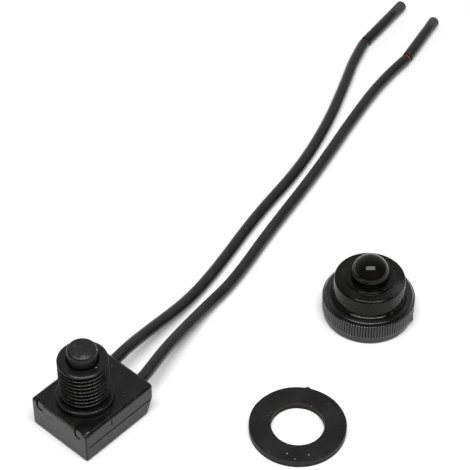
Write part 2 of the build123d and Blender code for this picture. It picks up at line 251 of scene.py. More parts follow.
def ridge(angle, height, pitch, crest_height, crest, flank):
    """A right-hand thread's ridge: 1 on its crest and 0 in its root.

    The widths of the crest and of the flank are shares of the pitch.
    """
    turns = (height - crest_height) / pitch - angle / (2 * math.pi)
    from_crest = abs(turns - round(turns))
    return 1 - smooth_step((from_crest - crest / 2) / flank)


def stub(angle, height, radius, stub_angle, stub_height, size):
    """How far a small round stub of flash stands out of a wall there, in millimetres."""
    away = ((angle - stub_angle + math.pi) % (2 * math.pi) - math.pi) * radius
    return size * math.exp(-((away / size) ** 2) - ((height - stub_height) / size) ** 2)


def middle(low, high):
    """The place in plan halfway between a box's corners, in millimetres."""
    return (low.x + high.x) / 2 / MM, (low.y + high.y) / 2 / MM


print("helpers ready")

# %% [markdown]
# The cover carries the bushing, and the bushing a fine M10 thread with a pitch of 1 mm. The construction
# has it as a plain cylinder. Cutting the thread with a Boolean would work, but it leaves long thin faces
# that shade badly. So a copy of the cover loses its bushing's skin, and a fine sheet of rings takes its
# place, where the radius follows a helix. The sheet is bridged to the two open edges, so that the cover is
# one closed skin again.

# %% Bushing sizes
seat_height = 8.7
bushing_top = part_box("top_cover")[1].z / MM
thread_crest = 5.0
thread_root = 4.5
thread_flat = 0.06
thread_flank = 0.15
thread_pitch = 1.0
thread_crest_height = 12.28
thread_entry = 0.45
thread_exit = 0.25
relief_radius = 4.5
relief_top = 9.1
rim_reach = 0.8
rim_drop = 0.35
rim_steps = 6
lip_radius = 3.3
lip_edge = 0.12
bore_radius = 3.6
rows_per_turn = 32
bushing_segments = 192
print("bushing: top at", round(bushing_top, 2), "mm")

# %% Rows of the bushing's skin


def bushing_row(height):
    """(height, plain radius, share of thread depth) on the bushing's side."""
    entry = smooth_step((height - relief_top) / thread_entry)
    leaving = smooth_step((bushing_top - rim_drop - height) / thread_exit)
    plain = relief_radius + (thread_crest - relief_radius) * entry
    return height, plain, entry * leaving


def bushing_rows():
    """Rows of the bushing's skin, from the seat up over the rim to the lip."""
    rows = [(seat_height, relief_radius, 0.0)]
    side_top = bushing_top - rim_drop
    count = round((side_top - relief_top) / thread_pitch * rows_per_turn)
    rows += [bushing_row(point.y) for point in stretch((0, relief_top), (0, side_top), count)]
    for step in range(1, rim_steps + 1):
        turn = math.pi / 2 * step / rim_steps
        inset = rim_reach * (1 - math.cos(turn))
        rows.append((side_top + rim_drop * math.sin(turn), thread_crest - inset, 0.0))
    rows.append((bushing_top, (thread_crest + lip_radius) / 2, 0.0))
    rows.append((bushing_top, lip_radius + lip_edge, 0.0))
    return rows


print("bushing:", len(bushing_rows()), "rows")

# %% Take off the plain skin
skin_gap = 0.01
weld_gap = 0.0005 * MM
flat_angle = math.radians(0.5)
seat_reach = 1.0


def is_bushing_skin(face):
    """True for the faces of the construction's plain bushing: its side, its chamfer and its top ring."""
    reaches = [Vector(vertex.co[:2]).length / MM for vertex in face.verts]
    lowest = min(vertex.co.z for vertex in face.verts) / MM
    inside = max(reaches) < thread_crest + skin_gap and min(reaches) > lip_radius - skin_gap
    return lowest > seat_height - skin_gap and inside and max(reaches) > bore_radius + skin_gap


def open_edges(bm):
    """Edges with a face on one side only."""
    return [edge for edge in bm.edges if edge.is_boundary]


bm = bmesh.new()
bm.from_mesh(nodes["top_cover"].data)
bmesh.ops.remove_doubles(bm, verts=bm.verts, dist=weld_gap)
bmesh.ops.dissolve_limit(bm, angle_limit=flat_angle, verts=bm.verts, edges=bm.edges)
skin = [face for face in bm.faces if is_bushing_skin(face)]
bmesh.ops.delete(bm, geom=skin, context="FACES")
seat_edges = [edge for edge in open_edges(bm) if edge.verts[0].co.z / MM < seat_height + seat_reach]
lip_edges = [edge for edge in open_edges(bm) if edge not in seat_edges]
print("cover:", len(skin), "faces of skin taken off")

# %% Sew the thread on
thread_edge_angle = 35
level_normal = 0.9999


def bushing_shape(share):
    """Radius of one row of the bushing at each angle, with a share of the thread's depth."""
    depth = (thread_crest - thread_root) * share

    def threaded(angle, radius, height):
        crest = ridge(angle, height, thread_pitch, thread_crest_height, thread_flat, thread_flank)
        return radius - depth * (1 - crest)

    return threaded


def ring_edges(ring):
    """Edges round a ring of the cover's vertices."""
    return [bm.edges.get((vertex, ring[index - 1])) for index, vertex in enumerate(ring)]


rings = []
for height, plain, share in bushing_rows():
    rings.append(add_ring(bm, plain, height, bushing_segments, (0, 0), bushing_shape(share)))
for below, above in zip(rings, rings[1:]):
    join_rings(bm, below, above, bushing_segments)
bmesh.ops.bridge_loops(bm, edges=seat_edges + ring_edges(rings[0]))
bmesh.ops.bridge_loops(bm, edges=lip_edges + ring_edges(rings[-1]))
print("cover:", len(open_edges(bm)), "open edges left")

threaded_cover = add_piece("threaded_cover", bm, sharp_angle=thread_edge_angle)
for face in threaded_cover.data.polygons:
    face.use_smooth = abs(face.normal.z) < level_normal
even_flats = threaded_cover.modifiers.new("even flats", "WEIGHTED_NORMAL")
even_flats.keep_sharp = True
print("cover:", len(threaded_cover.data.polygons), "faces")

# %% [markdown]
# The cap's nut is a moulded ring with a finely ribbed side, a plain band below the ribs and a thread in its
# floor. Ribs this small could be a bump texture, but they show in the outline and break up the light at the
# edge, so they are geometry: each rib is eight segments round, which is enough for a rounded crest.

# %% Nut sizes
nut_low, nut_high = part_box("cap_nut")
cap_centre = middle(nut_low, nut_high)
nut_height = nut_high.z / MM
band_radius = 9.25
band_top = 1.5
band_bevel = (0.15, 0.3)
knurl_radius = (nut_high.x - nut_low.x) / 2 / MM
knurl_top = 5.1
knurl_depth = 0.24
knurl_fullness = 0.35
knurl_count = 104
knurl_end = 0.24
rib_segments = 8
top_bevel = 0.42
nut_bore = 5.05
nut_thread_depth = 0.5
nut_thread_run = 0.5
nut_floor = 3.0
nut_cavity = 8.65
boot_hole = 7.6
lip_bottom = 4.9
gate_angle = math.radians(-69)
gate_height = 1.2
gate_size = 0.6
wall_margin = 0.05
print("nut:", knurl_count, "ribs,", round(2 * knurl_radius, 2), "mm across")

# %% Cap nut


def nut_shape(angle, radius, height):
    """Ribs on the outside, a thread in the bore and the stub of the moulding gate low on one side."""
    if radius > band_radius - wall_margin:
        into = min(height - band_top, knurl_top - height) / knurl_end
        rib = (0.5 + 0.5 * math.cos(knurl_count * angle)) ** knurl_fullness
        proud = knurl_radius - knurl_depth * (1 - rib) - band_radius
        gate = stub(angle, height, band_radius, gate_angle, gate_height, gate_size)
        return radius + proud * smooth_step(into) + gate
    if radius < nut_bore + skin_gap and height < nut_floor:
        share = smooth_step(min(height, nut_floor - height) / nut_thread_run)
        crest = ridge(angle, height, thread_pitch, 0, thread_flat, thread_flank)
        return radius - nut_thread_depth * share * crest
    return radius


thread_rows = 42
band_foot = 0.5
knurl_foot = band_top + 0.08
knurl_full = band_top + 0.5
knurl_fall = knurl_top - 0.9 * knurl_end
# Lowest row, highest row and how many steps lie between them.
side_rows = (
    (band_foot, band_top, 10),
    (knurl_foot, band_top + knurl_end, 3),
    (knurl_full, knurl_top - knurl_end, 6),
    (knurl_fall, knurl_top, 6),
)
nut_profile = stretch((nut_bore, nut_floor), (nut_bore, 0.0), thread_rows)
nut_profile += rounded(
    [
        (nut_bore, 0.0, 0),
        (band_radius - band_bevel[0], 0.0, 0.14),
        (band_radius, band_bevel[1], 0.1),
        (band_radius, nut_height, 0),
    ]
)[1:-1]
for lowest, highest, count in side_rows:
    nut_profile += stretch((band_radius, lowest), (band_radius, highest), count)
nut_profile += rounded(
    [
        (band_radius, knurl_top, 0),
        (band_radius - top_bevel, nut_height, 0.3),
        (boot_hole, nut_height, 0.12),
        (boot_hole, lip_bottom, 0),
        (nut_cavity, lip_bottom, 0),
        (nut_cavity, nut_floor, 0),
    ]
)[1:]
knurled_nut = turned("knurled_nut", nut_profile, rib_segments * knurl_count, cap_centre, nut_shape)
print("nut:", len(knurled_nut.data.polygons), "faces")

# %% [markdown]
# The boot is soft glossy rubber: a flange that the nut traps, a bead, a bell, a step, a neck and a dome
# over the button. Its sharpest highlights sit on small roundings, so the profile gives every corner one.
# The dome is an arc of a circle, worked out from its centre and its radius.

# %% Boot sizes
boot_low, boot_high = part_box("sealing_boot")
dome_radius = 3.98
dome_centre = boot_high.z / MM - dome_radius
dome_foot = 0.12
dome_tuck = 0.03
boot_wall = 1.0
boot_foot = 7.5
bead_radius = 7.9
bead_bottom = 5.7
bead_top = 6.1
bead_slope = (0.3, 0.18)
shoulder_radius = 7.28
shoulder_height = 10.1
shoulder_rounding = 0.55
step_radius = 5.1
step_top = 10.5
neck_radius = 3.6
neck_top = 10.85
flange_radius = (boot_high.x - boot_low.x) / 2 / MM
flange_bottom = boot_low.z / MM
flange_gap = 0.1
flange_top = lip_bottom - flange_gap
print("boot: top at", round(boot_high.z / MM, 2), "mm")

# %% Sealing boot
boot_segments = 192
boot_rounding_steps = 7
dome_steps = 30
dome_pole = 87
inner_dome_steps = 16
inner_dome_pole = 86
inner_dome_drop = 0.4
dome_guide = 0.3


def dome_arc(radius, first, last, count):
    """Points of a dome's profile between two angles above its centre, in degrees."""
    points = []
    for step in range(count + 1):
        turn = math.radians(first + (last - first) * step / count)
        points.append(Vector((radius * math.cos(turn), dome_centre + radius * math.sin(turn))))
    return points


dome_foot_angle = math.degrees(math.asin((neck_top + dome_foot - dome_centre) / dome_radius))
boot_profile = [Vector((0, dome_centre + dome_radius))]
boot_profile += dome_arc(dome_radius, dome_pole, dome_foot_angle, dome_steps)
boot_profile += rounded(
    [
        (dome_radius, neck_top + dome_guide, 0),
        (dome_radius - dome_tuck, neck_top, dome_foot),
        (neck_radius, neck_top, 0.1),
        (neck_radius, step_top, 0.18),
        (step_radius, step_top, 0.14),
        (step_radius, shoulder_height, 0.16),
        (shoulder_radius, shoulder_height, shoulder_rounding),
        (boot_foot, bead_top, 0.14),
        (bead_radius - bead_slope[0], bead_top, 0.5),
        (bead_radius, bead_top - bead_slope[1], 0.15),
        (bead_radius, bead_bottom, 0.1),
        (boot_foot, bead_bottom, 0.05),
        (boot_foot, flange_top, 0.1),
        (flange_radius, flange_top, 0.15),
        (flange_radius, flange_bottom, 0.15),
        (boot_foot - boot_wall, flange_bottom, 0.15),
        (boot_foot - boot_wall, shoulder_height - boot_wall, 0.6),
        (dome_radius - boot_wall, shoulder_height - boot_wall, 0.3),
        (dome_radius - boot_wall, dome_centre - inner_dome_drop, 0),
    ],
    steps=boot_rounding_steps,
)[1:]
boot_profile += dome_arc(dome_radius - boot_wall, 0, inner_dome_pole, inner_dome_steps)
boot_profile.append(Vector((0, dome_centre + dome_radius - boot_wall)))
glossy_boot = turned("glossy_boot", boot_profile, boot_segments, cap_centre)
print("boot:", len(glossy_boot.data.polygons), "faces")

# %% [markdown]
# The gasket was stamped or moulded from dull rubber. Its rim isn't perfectly round, and a small stub of
# flash stands on its far side. Slow noise on the radius gives that without any modifier.

# %% Gasket washer
washer_low, washer_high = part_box("gasket_washer")
washer_centre = middle(washer_low, washer_high)
washer_radius = (washer_high.x - washer_low.x) / 2 / MM
washer_hole = 5.25
washer_thickness = washer_high.z / MM
washer_edge = 0.12
washer_segments = 240
washer_waver = 0.05
slow_waver = 2.2
quick_waver = 9
quick_share = 0.4
flash_angle = math.radians(29)
flash_height = 1.4
flash_size = 0.4


def washer_shape(angle, radius, height):
    """A rim that wavers a little, with a stub of flash."""
    place = Vector((math.cos(angle), math.sin(angle), radius))
    waver = washer_waver * noise.noise(place * slow_waver)
    waver += quick_share * washer_waver * noise.noise(place * quick_waver)
    if radius < (washer_radius + washer_hole) / 2:
        return radius + waver
    return radius + waver + stub(angle, height, washer_radius, flash_angle, flash_height, flash_size)


washer_profile = rounded(
    [
        (washer_hole, 0.0, washer_edge),
        (washer_radius, 0.0, washer_edge),
        (washer_radius, washer_thickness, washer_edge),
        (washer_hole, washer_thickness, washer_edge),
    ]
)
rubber_washer = turned("rubber_washer", washer_profile, washer_segments, washer_centre, washer_shape)
print("washer:", len(rubber_washer.data.polygons), "faces")

# %% [markdown]
# At its end each lead is stripped: the insulation was cut through, and the cut piece was pulled along
# without coming off, so a little twisted copper shows in the gap. The slug is a short tube. The copper is
# nineteen thin wires that wind round each other, and each is a tube along a helix.

# %% Tubes along a line


def tube(bm, path, radius, sides):
    """A closed round tube along a list of points in metres."""
    rings = []
    normal = None
    for index, point in enumerate(path):
        ahead = path[min(index + 1, len(path) - 1)] - path[max(index - 1, 0)]
        ahead.normalize()
        if normal is None:
            normal = ahead.orthogonal().normalized()
        normal = (normal - ahead * normal.dot(ahead)).normalized()
        across = ahead.cross(normal)
        ring = []
        for step in range(sides):
            turn = 2 * math.pi * step / sides
            ring.append(bm.verts.new(point + (normal * math.cos(turn) + across * math.sin(turn)) * radius))
        rings.append(ring)
    for below, above in zip(rings, rings[1:]):
        join_rings(bm, below, above, sides)
    bm.faces.new(rings[0])
    bm.faces.new(rings[-1])


def along_lead(start, end):
    """Matrix that stands an upright piece along the line from start to end, and the line's length.

    The places and the length are in millimetres.
    """
    line = Vector(end) - Vector(start)
    turn = line.to_track_quat("Z", "Y").to_matrix().to_4x4()
    return Matrix.Translation(Vector(start) * MM) @ turn, line.length


print("tube helpers ready")

# %% Cut slugs
strip_gap = 0.8
slug_bore = 0.78
slug_segments = 48
slug_oval = 0.012
slug_oval_turn = 0.4
slug_waver = 0.006


def slug_shape(angle, radius, height):
    """A tube that isn't quite round."""
    oval = slug_oval * math.cos(2 * angle + slug_oval_turn)
    return radius * (1 + oval + slug_waver * noise.noise(Vector((angle, height, radius))))


def cut_slug(name, cut, tip):
    """The piece of insulation beyond the cut, from the gap to the lead's tip."""
    place, length = along_lead(cut, tip)
    outer = lead_diameter / 2 / MM
    profile = rounded(
        [
            (slug_bore, strip_gap, 0),
            (outer, strip_gap, 0.1),
            (outer, length, 0.28),
            (slug_bore, length, 0.12),
        ]
    )
    slug = turned(name, profile, slug_segments, (0, 0), slug_shape)
    slug.data.transform(place)
    return slug


left_slug = cut_slug("left_cut_slug", left_route[-1], left_tip)
right_slug = cut_slug("right_cut_slug", right_route[-1], right_tip)
print("slugs:", len(left_slug.data.polygons), "faces each")

# %% Copper strands
wire_radius = 0.14
wire_rings = ((1, 0.0), (6, 0.28), (12, 0.57))
wire_lay = 13.0
wire_sides = 8
strand_overlap = 0.3
strand_gap_rows = 14
strand_hidden_from = 0.8
strand_hidden_rows = 30
slug_tip_depth = 1.5
left_bulge = 0.0
right_bulge = 0.35


def strand_heights(length):
    """Heights along a bundle of wires, closer together where it shows in the gap."""
    seen = stretch((0, -strand_overlap), (0, strip_gap + strand_overlap), strand_gap_rows)
    hidden_start = strip_gap + strand_hidden_from
    hidden = stretch((0, hidden_start), (0, length - slug_tip_depth), strand_hidden_rows)
    return [point.y for point in seen + hidden]


def copper_strands(name, cut, tip, bulge):
    """Twisted wires that stand out by the bulge, in millimetres, where the gap lets them."""
    place, length = along_lead(cut, tip)
    bm = bmesh.new()
    for count, reach in wire_rings:
        for wire in range(count):
            path = []
            for height in strand_heights(length):
                into_gap = smooth_step(min(height, strip_gap - height) / (strip_gap / 2))
                turn = 2 * math.pi * (wire / count + height / wire_lay)
                out = reach * (1 + bulge * into_gap / wire_rings[-1][1])
                path.append(Vector((out * math.cos(turn), out * math.sin(turn), height)) * MM)
            tube(bm, path, wire_radius * MM, wire_sides)
    bm.transform(place)
    return add_piece(name, bm)


left_copper = copper_strands("left_copper", left_route[-1], left_tip, left_bulge)
right_copper = copper_strands("right_copper", right_route[-1], right_tip, right_bulge)
print("strands:", len(left_copper.data.polygons), "faces in each bundle")

# %% [markdown]
# Inside the bushing a coil spring lifts the button. A spring shortens when it is pressed, which no rigid
# piece does, so it is made as one mesh of its own. The wire climbs more slowly in its end turns, as on a
# ground spring.

# %% Return spring
spring_low, spring_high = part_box("return_spring")
spring_bottom = spring_low.z / MM
spring_top = spring_high.z / MM
spring_wire = 0.2
spring_radius = spring_high.x / MM - spring_wire
spring_turns = 8
steps_per_turn = 40
spring_sides = 10
spring_end = 0.75
soft_share = 0.25


def spring_path():
    """The middle of the spring's wire, which climbs more slowly in its end turns."""
    path = []
    steps = spring_turns * steps_per_turn
    for step in range(steps + 1):
        turns = spring_turns * step / steps
        climb = smooth_step(turns / spring_turns) * soft_share + (1 - soft_share) * turns / spring_turns
        flat = max(0.0, min(1.0, (turns - spring_end) / (spring_turns - 2 * spring_end)))
        height = spring_bottom + spring_wire
        height += (spring_top - spring_bottom - 2 * spring_wire) * (0.5 * flat + 0.5 * climb)
        angle = 2 * math.pi * turns
        along = Vector((spring_radius * math.cos(angle), spring_radius * math.sin(angle), height))
        path.append(along * MM)
    return path


bm = bmesh.new()
tube(bm, spring_path(), spring_wire * MM, spring_sides)
coil_spring = add_piece("coil_spring", bm)
print("spring:", spring_turns, "turns,", len(coil_spring.data.polygons), "faces")

# %% [markdown]
# Effects that several finishes share are node groups. The first is moulded grain: two sizes of noise, one
# fine enough to roughen the highlight and one that clouds it. The second finds outer edges. A wear mask
# could come from the mesh's pointiness, but that depends on how finely a piece is meshed, so an occlusion
# node that looks inwards is used: near an outer edge its rays leave the solid. The third is settled dust:
# small specks on faces that look up.

# %% Node helpers


def put(tree, kind, inputs=None, **settings):
    """A shader node with its settings, and with each input linked to a socket or set to a value."""
    made = tree.nodes.new("ShaderNode" + kind)
    for label, value in settings.items():
        setattr(made, label, value)
    for label, value in (inputs or {}).items():
        if isinstance(value, bpy.types.NodeSocket):
            tree.links.new(value, made.inputs[label])
        else:
            made.inputs[label].default_value = value
    return made


def calc(tree, operation, first, second=0.0, clamp=False):
    """One sum or comparison of two values or sockets."""
    return put(tree, "Math", {0: first, 1: second}, operation=operation, use_clamp=clamp).outputs[0]


def spread(tree, value, low, high, to_low=0.0, to_high=1.0):
    """Maps a value's range from low to high onto another, and stops at its ends."""
    limits = {"From Min": low, "From Max": high, "To Min": to_low, "To Max": to_high}
    return put(tree, "MapRange", {"Value": value, **limits}).outputs[0]


def tint(tree, share, under, over):
    """The colour over laid on the colour under by a share."""
    return put(tree, "Mix", {0: share, 6: under, 7: over}, data_type="RGBA").outputs[2]


def piece_place(tree):
    """The place on the piece, in metres from its origin."""
    return put(tree, "TexCoord").outputs["Object"]


def noise_at(tree, place, scale, detail):
    """Noise of a scale, with finer noise laid over it by the detail."""
    return put(tree, "TexNoise", {"Vector": place, "Scale": scale, "Detail": detail}).outputs[0]


def start_group(name, inputs, outputs):
    """An empty node group with float or vector inputs that have a usual value, and float outputs."""
    group = bpy.data.node_groups.new(name, "ShaderNodeTree")
    for label, value in inputs.items():
        kind = "NodeSocketVector" if isinstance(value, tuple) else "NodeSocketFloat"
        group.interface.new_socket(name=label, in_out="INPUT", socket_type=kind).default_value = value
    for label in outputs:
        group.interface.new_socket(name=label, in_out="OUTPUT", socket_type="NodeSocketFloat")
    return group, group.nodes.new("NodeGroupInput").outputs, group.nodes.new("NodeGroupOutput").inputs


def use_group(tree, group, **values):
    """Places a group in a material with its own values, and returns its outputs."""
    made = tree.nodes.new("ShaderNodeGroup")
    made.node_tree = group
    for label, value in values.items():
        made.inputs[label].default_value = value
    return made.outputs


print("node helpers ready")

# %% Moulded grain
noise_span = (0.3, 0.7)
cloud_height = 0.6
grain_group, given, result = start_group(
    "moulded grain", {"Fine": 5200.0, "Cloud": 420.0}, ["Height", "Cloud"]
)
here = piece_place(grain_group)
fine = noise_at(grain_group, here, given["Fine"], detail=3.0)
cloud = noise_at(grain_group, here, given["Cloud"], detail=4.0)
height = calc(grain_group, "ADD", fine, calc(grain_group, "MULTIPLY", cloud, cloud_height))
grain_group.links.new(height, result["Height"])
grain_group.links.new(spread(grain_group, cloud, *noise_span), result["Cloud"])
print("group:", grain_group.name)

# %% Worn edges
edge_span = (0.08, 0.45)
patch_span = (0.35, 0.65)
edge_samples = 8
wear_group, given, result = start_group(
    "worn edges", {"Width": 0.0003, "Patch": 900.0, "Amount": 1.0}, ["Mask"]
)
inward = put(
    wear_group,
    "AmbientOcclusion",
    {"Distance": given["Width"]},
    samples=edge_samples,
    inside=True,
    only_local=True,
)
edge = calc(wear_group, "SUBTRACT", 1.0, inward.outputs["AO"])
patch = noise_at(wear_group, piece_place(wear_group), given["Patch"], detail=3.0)
edge = spread(wear_group, edge, *edge_span)
patchy = calc(wear_group, "MULTIPLY", edge, spread(wear_group, patch, *patch_span))
wear_group.links.new(calc(wear_group, "MULTIPLY", patchy, given["Amount"], clamp=True), result["Mask"])
print("group:", wear_group.name)

# %% Settled dust
speck_grain = 9000.0
drift_scale = 260.0
drift_span = (0.45, 0.75)
smallest_speck = 0.4
ragged_speck = (0.5, 1.5)
settling_slope = 0.7
dust_group, given, result = start_group(
    "settled dust", {"Cells": 2200.0, "Share": 0.06, "Speck": 0.2, "Film": 0.1}, ["Mask"]
)
here = piece_place(dust_group)
ragged = noise_at(dust_group, here, speck_grain, detail=1.0)
cells = put(dust_group, "TexVoronoi", {"Vector": here, "Scale": given["Cells"]})
chances = put(dust_group, "SeparateColor", {0: cells.outputs["Color"]}).outputs
picked = calc(dust_group, "LESS_THAN", chances[0], given["Share"])
sizes = spread(dust_group, chances[1], 0.0, 1.0, smallest_speck, 1.0)
reach = calc(dust_group, "MULTIPLY", given["Speck"], sizes)
reach = calc(dust_group, "MULTIPLY", reach, spread(dust_group, ragged, *noise_span, *ragged_speck))
speck = calc(dust_group, "LESS_THAN", cells.outputs["Distance"], reach)
specks = calc(dust_group, "MULTIPLY", calc(dust_group, "MULTIPLY", picked, speck), chances[2])
drift = noise_at(dust_group, here, drift_scale, detail=5.0)
film = calc(dust_group, "MULTIPLY", spread(dust_group, drift, *drift_span), given["Film"])
facing = put(dust_group, "SeparateXYZ", {0: put(dust_group, "NewGeometry").outputs["Normal"]}).outputs[2]
upward = spread(dust_group, facing, 0.0, settling_slope)
settled = calc(dust_group, "MULTIPLY", calc(dust_group, "MAXIMUM", specks, film), upward)
dust_group.links.new(settled, result["Mask"])
print("group:", dust_group.name)

# %% [markdown]
# The object has been handled: the button's edge is scuffed and a few pale crumbs cling to it. Other marks
# are painted light: a painted highlight along the housing's front top edge, a painted glint on its near
# corner, and two small domed marks on the button's top, painted lighter in place of the highlights on their
# domes. Each is one ragged ellipsoid at a place on the piece. An image mask would need the piece unwrapped,
# while this moves with the piece and needs only a centre, a size and a turn.

# %% Ragged marks
mark_edge = (1.0, 0.6)
usual_grain = 7000.0
mark_group, given, result = start_group(
    "ragged mark",
    {
        "Centre": (0.0, 0.0, 0.0),
        "Size": (1.0, 1.0, 1.0),
        "Turn": 0.0,
        "Grain": usual_grain,
        "Ragged": 0.5,
    },
    ["Mask"],
)
here = piece_place(mark_group)
turn = put(mark_group, "CombineXYZ", {"Z": given["Turn"]}).outputs[0]
local = put(
    mark_group,
    "Mapping",
    {"Vector": here, "Location": given["Centre"], "Rotation": turn, "Scale": given["Size"]},
    vector_type="TEXTURE",
).outputs[0]
reach = put(mark_group, "VectorMath", {0: local}, operation="LENGTH").outputs["Value"]
ragged = noise_at(mark_group, here, given["Grain"], detail=2.0)
ragged = spread(mark_group, ragged, *noise_span, -1.0, 1.0)
ragged = calc(mark_group, "MULTIPLY", ragged, given["Ragged"])
mask = spread(mark_group, calc(mark_group, "ADD", reach, ragged), *mark_edge)
mark_group.links.new(mask, result["Mask"])


def mark(colour, centre, size, turn=0.0, ragged=0.5, grain=usual_grain):
    """A mark's colour and its values: centre and half sizes in millimetres, turn in degrees."""
    place = {"Centre": Vector(centre) * MM, "Size": Vector(size) * MM, "Turn": math.radians(turn)}
    return colour, {**place, "Ragged": ragged, "Grain": grain}


print("group:", mark_group.name)

# %% [markdown]
# One function makes every moulded finish, plastic or rubber, because they differ in values and not in kind:
# how dark, how rough, how grainy, how dusty. The shader itself stays in the material. Black plastic isn't
# pure black. Less than one percent is a deep black that still takes light, and what the eye calls grey on
# its sides is the pale table, mirrored in the satin surface.

# %% How a moulded finish is made
mark_dulling = 0.4
grain_strength = 0.6


def grey(level, warmth=0.0):
    """A grey, a little warmer or cooler."""
    return (level * (1 + warmth), level, level * (1 - warmth), 1.0)


def new_finish(name):
    """A material, its node tree and its shader."""
    material = bpy.data.materials.new(name)
    material.use_nodes = True
    return material, material.node_tree, material.node_tree.nodes["Principled BSDF"]


def moulded(name, colour, rough, grain, wear, dust, worn_colour, bump, ior=1.54, marks=()):
    """A moulded plastic or rubber.

    rough is its smoothest and its roughest value, bump the height of its grain in metres, and grain, wear
    and dust are the values of their node groups.
    """
    material, tree, shader = new_finish(name)
    grained = use_group(tree, grain_group, **grain)
    worn = use_group(tree, wear_group, **wear)["Mask"]
    dusty = use_group(tree, dust_group, **dust)["Mask"]
    shade = tint(tree, worn, colour, worn_colour)
    shade = tint(tree, dusty, shade, dust_colour)
    dull = dusty
    for mark_colour, values in marks:
        marked = use_group(tree, mark_group, **values)["Mask"]
        shade = tint(tree, marked, shade, mark_colour)
        dull = calc(tree, "MAXIMUM", dull, marked)
    dulling = calc(tree, "MULTIPLY", dull, mark_dulling)
    roughness = spread(tree, grained["Cloud"], 0.0, 1.0, *rough)
    roughness = calc(tree, "ADD", roughness, dulling, clamp=True)
    relief = put(tree, "Bump", {"Height": grained["Height"], "Distance": bump, "Strength": grain_strength})
    tree.links.new(shade, shader.inputs["Base Color"])
    tree.links.new(roughness, shader.inputs["Roughness"])
    tree.links.new(relief.outputs["Normal"], shader.inputs["Normal"])
    shader.inputs["IOR"].default_value = ior
    return material


dust_colour = grey(0.42, 0.03)
print("dust:", [round(value, 2) for value in dust_colour])

# %% Marks on each piece
# The next colour is a painted highlight: a pale yellowish line along the housing's front top edge.
painted_edge_highlight = (0.055, 0.052, 0.04, 1.0)
brown_edge = (0.014, 0.01, 0.006, 1.0)
crumb = grey(0.6)
rubber_crumb = grey(0.35, 0.03)
scuff_grain = 3500.0
bell_grain = 1800.0
housing_marks = [
    # Painted highlight: a pale line along the housing's front top edge.
    mark(painted_edge_highlight, (-7.25, -0.5, 7.25), (0.2, 6.6, 0.16), ragged=0.9),
    # Painted glint: a bright streak on the rounding of the housing's near top corner.
    mark(grey(0.3, 0.05), (-6.3, -6.9, 7.3), (0.55, 0.1, 0.2), turn=-10, ragged=0.4),
    mark(grey(0.012), (-4.1, -3.75, 8.6), (2.2, 0.5, 0.3), turn=-48, ragged=1.0),
    mark(crumb, (0.2, -3.55, 18.25), (0.13, 0.11, 0.1)),
]
button_marks = [
    # Painted highlight: two small domed marks on the button's top, painted lighter in place of the
    # highlights on their domes.
    mark(grey(0.03), (-0.4, 1.45, 21.15), (0.36, 0.36, 0.1), ragged=0.3),
    mark(grey(0.03), (0.14, 0.48, 21.15), (0.24, 0.24, 0.1), ragged=0.3),
    mark(grey(0.05), (-2.35, -0.85, 21.1), (0.85, 0.2, 0.25), turn=-70, ragged=0.8, grain=scuff_grain),
    mark(grey(0.075), (-1.2, -1.85, 21.1), (0.6, 0.38, 0.25), turn=-48, ragged=1.0, grain=scuff_grain),
    mark(crumb, (1.95, -2.15, 20.8), (0.17, 0.17, 0.17)),
]
boot_marks = [
    mark(grey(0.012, 0.1), (*cap_centre, 7.8), (8.2, 8.2, 2.2), ragged=0.7, grain=bell_grain),
    mark(grey(0.045), (61.8, -28.4, 9.2), (2.4, 1.8, 2.0), ragged=1.0),
]
lead_marks = [
    mark(grey(0.05), left_tip, (5.0, 5.0, 5.0), ragged=0.3),
    mark(grey(0.05), right_tip, (4.0, 4.0, 4.0), ragged=0.3),
]
gasket_marks = [
    mark(brown_edge, (*washer_centre, 0.3), (14.0, 14.0, 1.0), ragged=0.2),
    mark(rubber_crumb, (19.45, -35.15, 1.5), (0.17, 0.14, 0.1)),
    mark(rubber_crumb, (22.05, -38.5, 1.5), (0.15, 0.15, 0.1)),
    mark(rubber_crumb, (19.45, -37.15, 1.5), (0.13, 0.16, 0.1)),
]
print("marks:", len(housing_marks), "on the housing,", len(button_marks), "on the button")

# %% Moulded finishes
housing_plastic = moulded(
    "housing satin plastic",
    colour=grey(0.004),
    rough=(0.15, 0.38),
    grain={"Fine": 4800.0, "Cloud": 700.0},
    wear={"Width": 0.00028, "Patch": 1100.0, "Amount": 0.35},
    dust={"Cells": 2100.0, "Share": 0.03, "Speck": 0.16, "Film": 0.015},
    worn_colour=grey(0.05, 0.06),
    bump=0.00002,
    ior=1.42,
    marks=housing_marks,
)
button_plastic = moulded(
    "button matte plastic",
    colour=grey(0.004),
    rough=(0.33, 0.46),
    grain={"Fine": 6000.0, "Cloud": 700.0},
    wear={"Width": 0.0002, "Patch": 1500.0, "Amount": 0.1},
    dust={"Cells": 2300.0, "Share": 0.06, "Speck": 0.16, "Film": 0.03},
    worn_colour=grey(0.03),
    bump=0.00002,
    ior=1.45,
    marks=button_marks,
)
nut_plastic = moulded(
    "nut satin plastic",
    colour=grey(0.008),
    rough=(0.14, 0.24),
    grain={"Fine": 5200.0, "Cloud": 520.0},
    wear={"Width": 0.00016, "Patch": 1600.0, "Amount": 0.8},
    dust={"Cells": 2300.0, "Share": 0.05, "Speck": 0.16, "Film": 0.02},
    worn_colour=grey(0.06),
    bump=0.00001,
    ior=1.56,
)
boot_rubber = moulded(
    "boot glossy rubber",
    colour=grey(0.003, 0.1),
    rough=(0.03, 0.07),
    grain={"Fine": 2600.0, "Cloud": 300.0},
    wear={"Width": 0.00012, "Patch": 1500.0, "Amount": 0.0},
    dust={"Cells": 2100.0, "Share": 0.06, "Speck": 0.16, "Film": 0.015},
    worn_colour=grey(0.03),
    bump=0.000003,
    ior=1.29,
    marks=boot_marks,
)
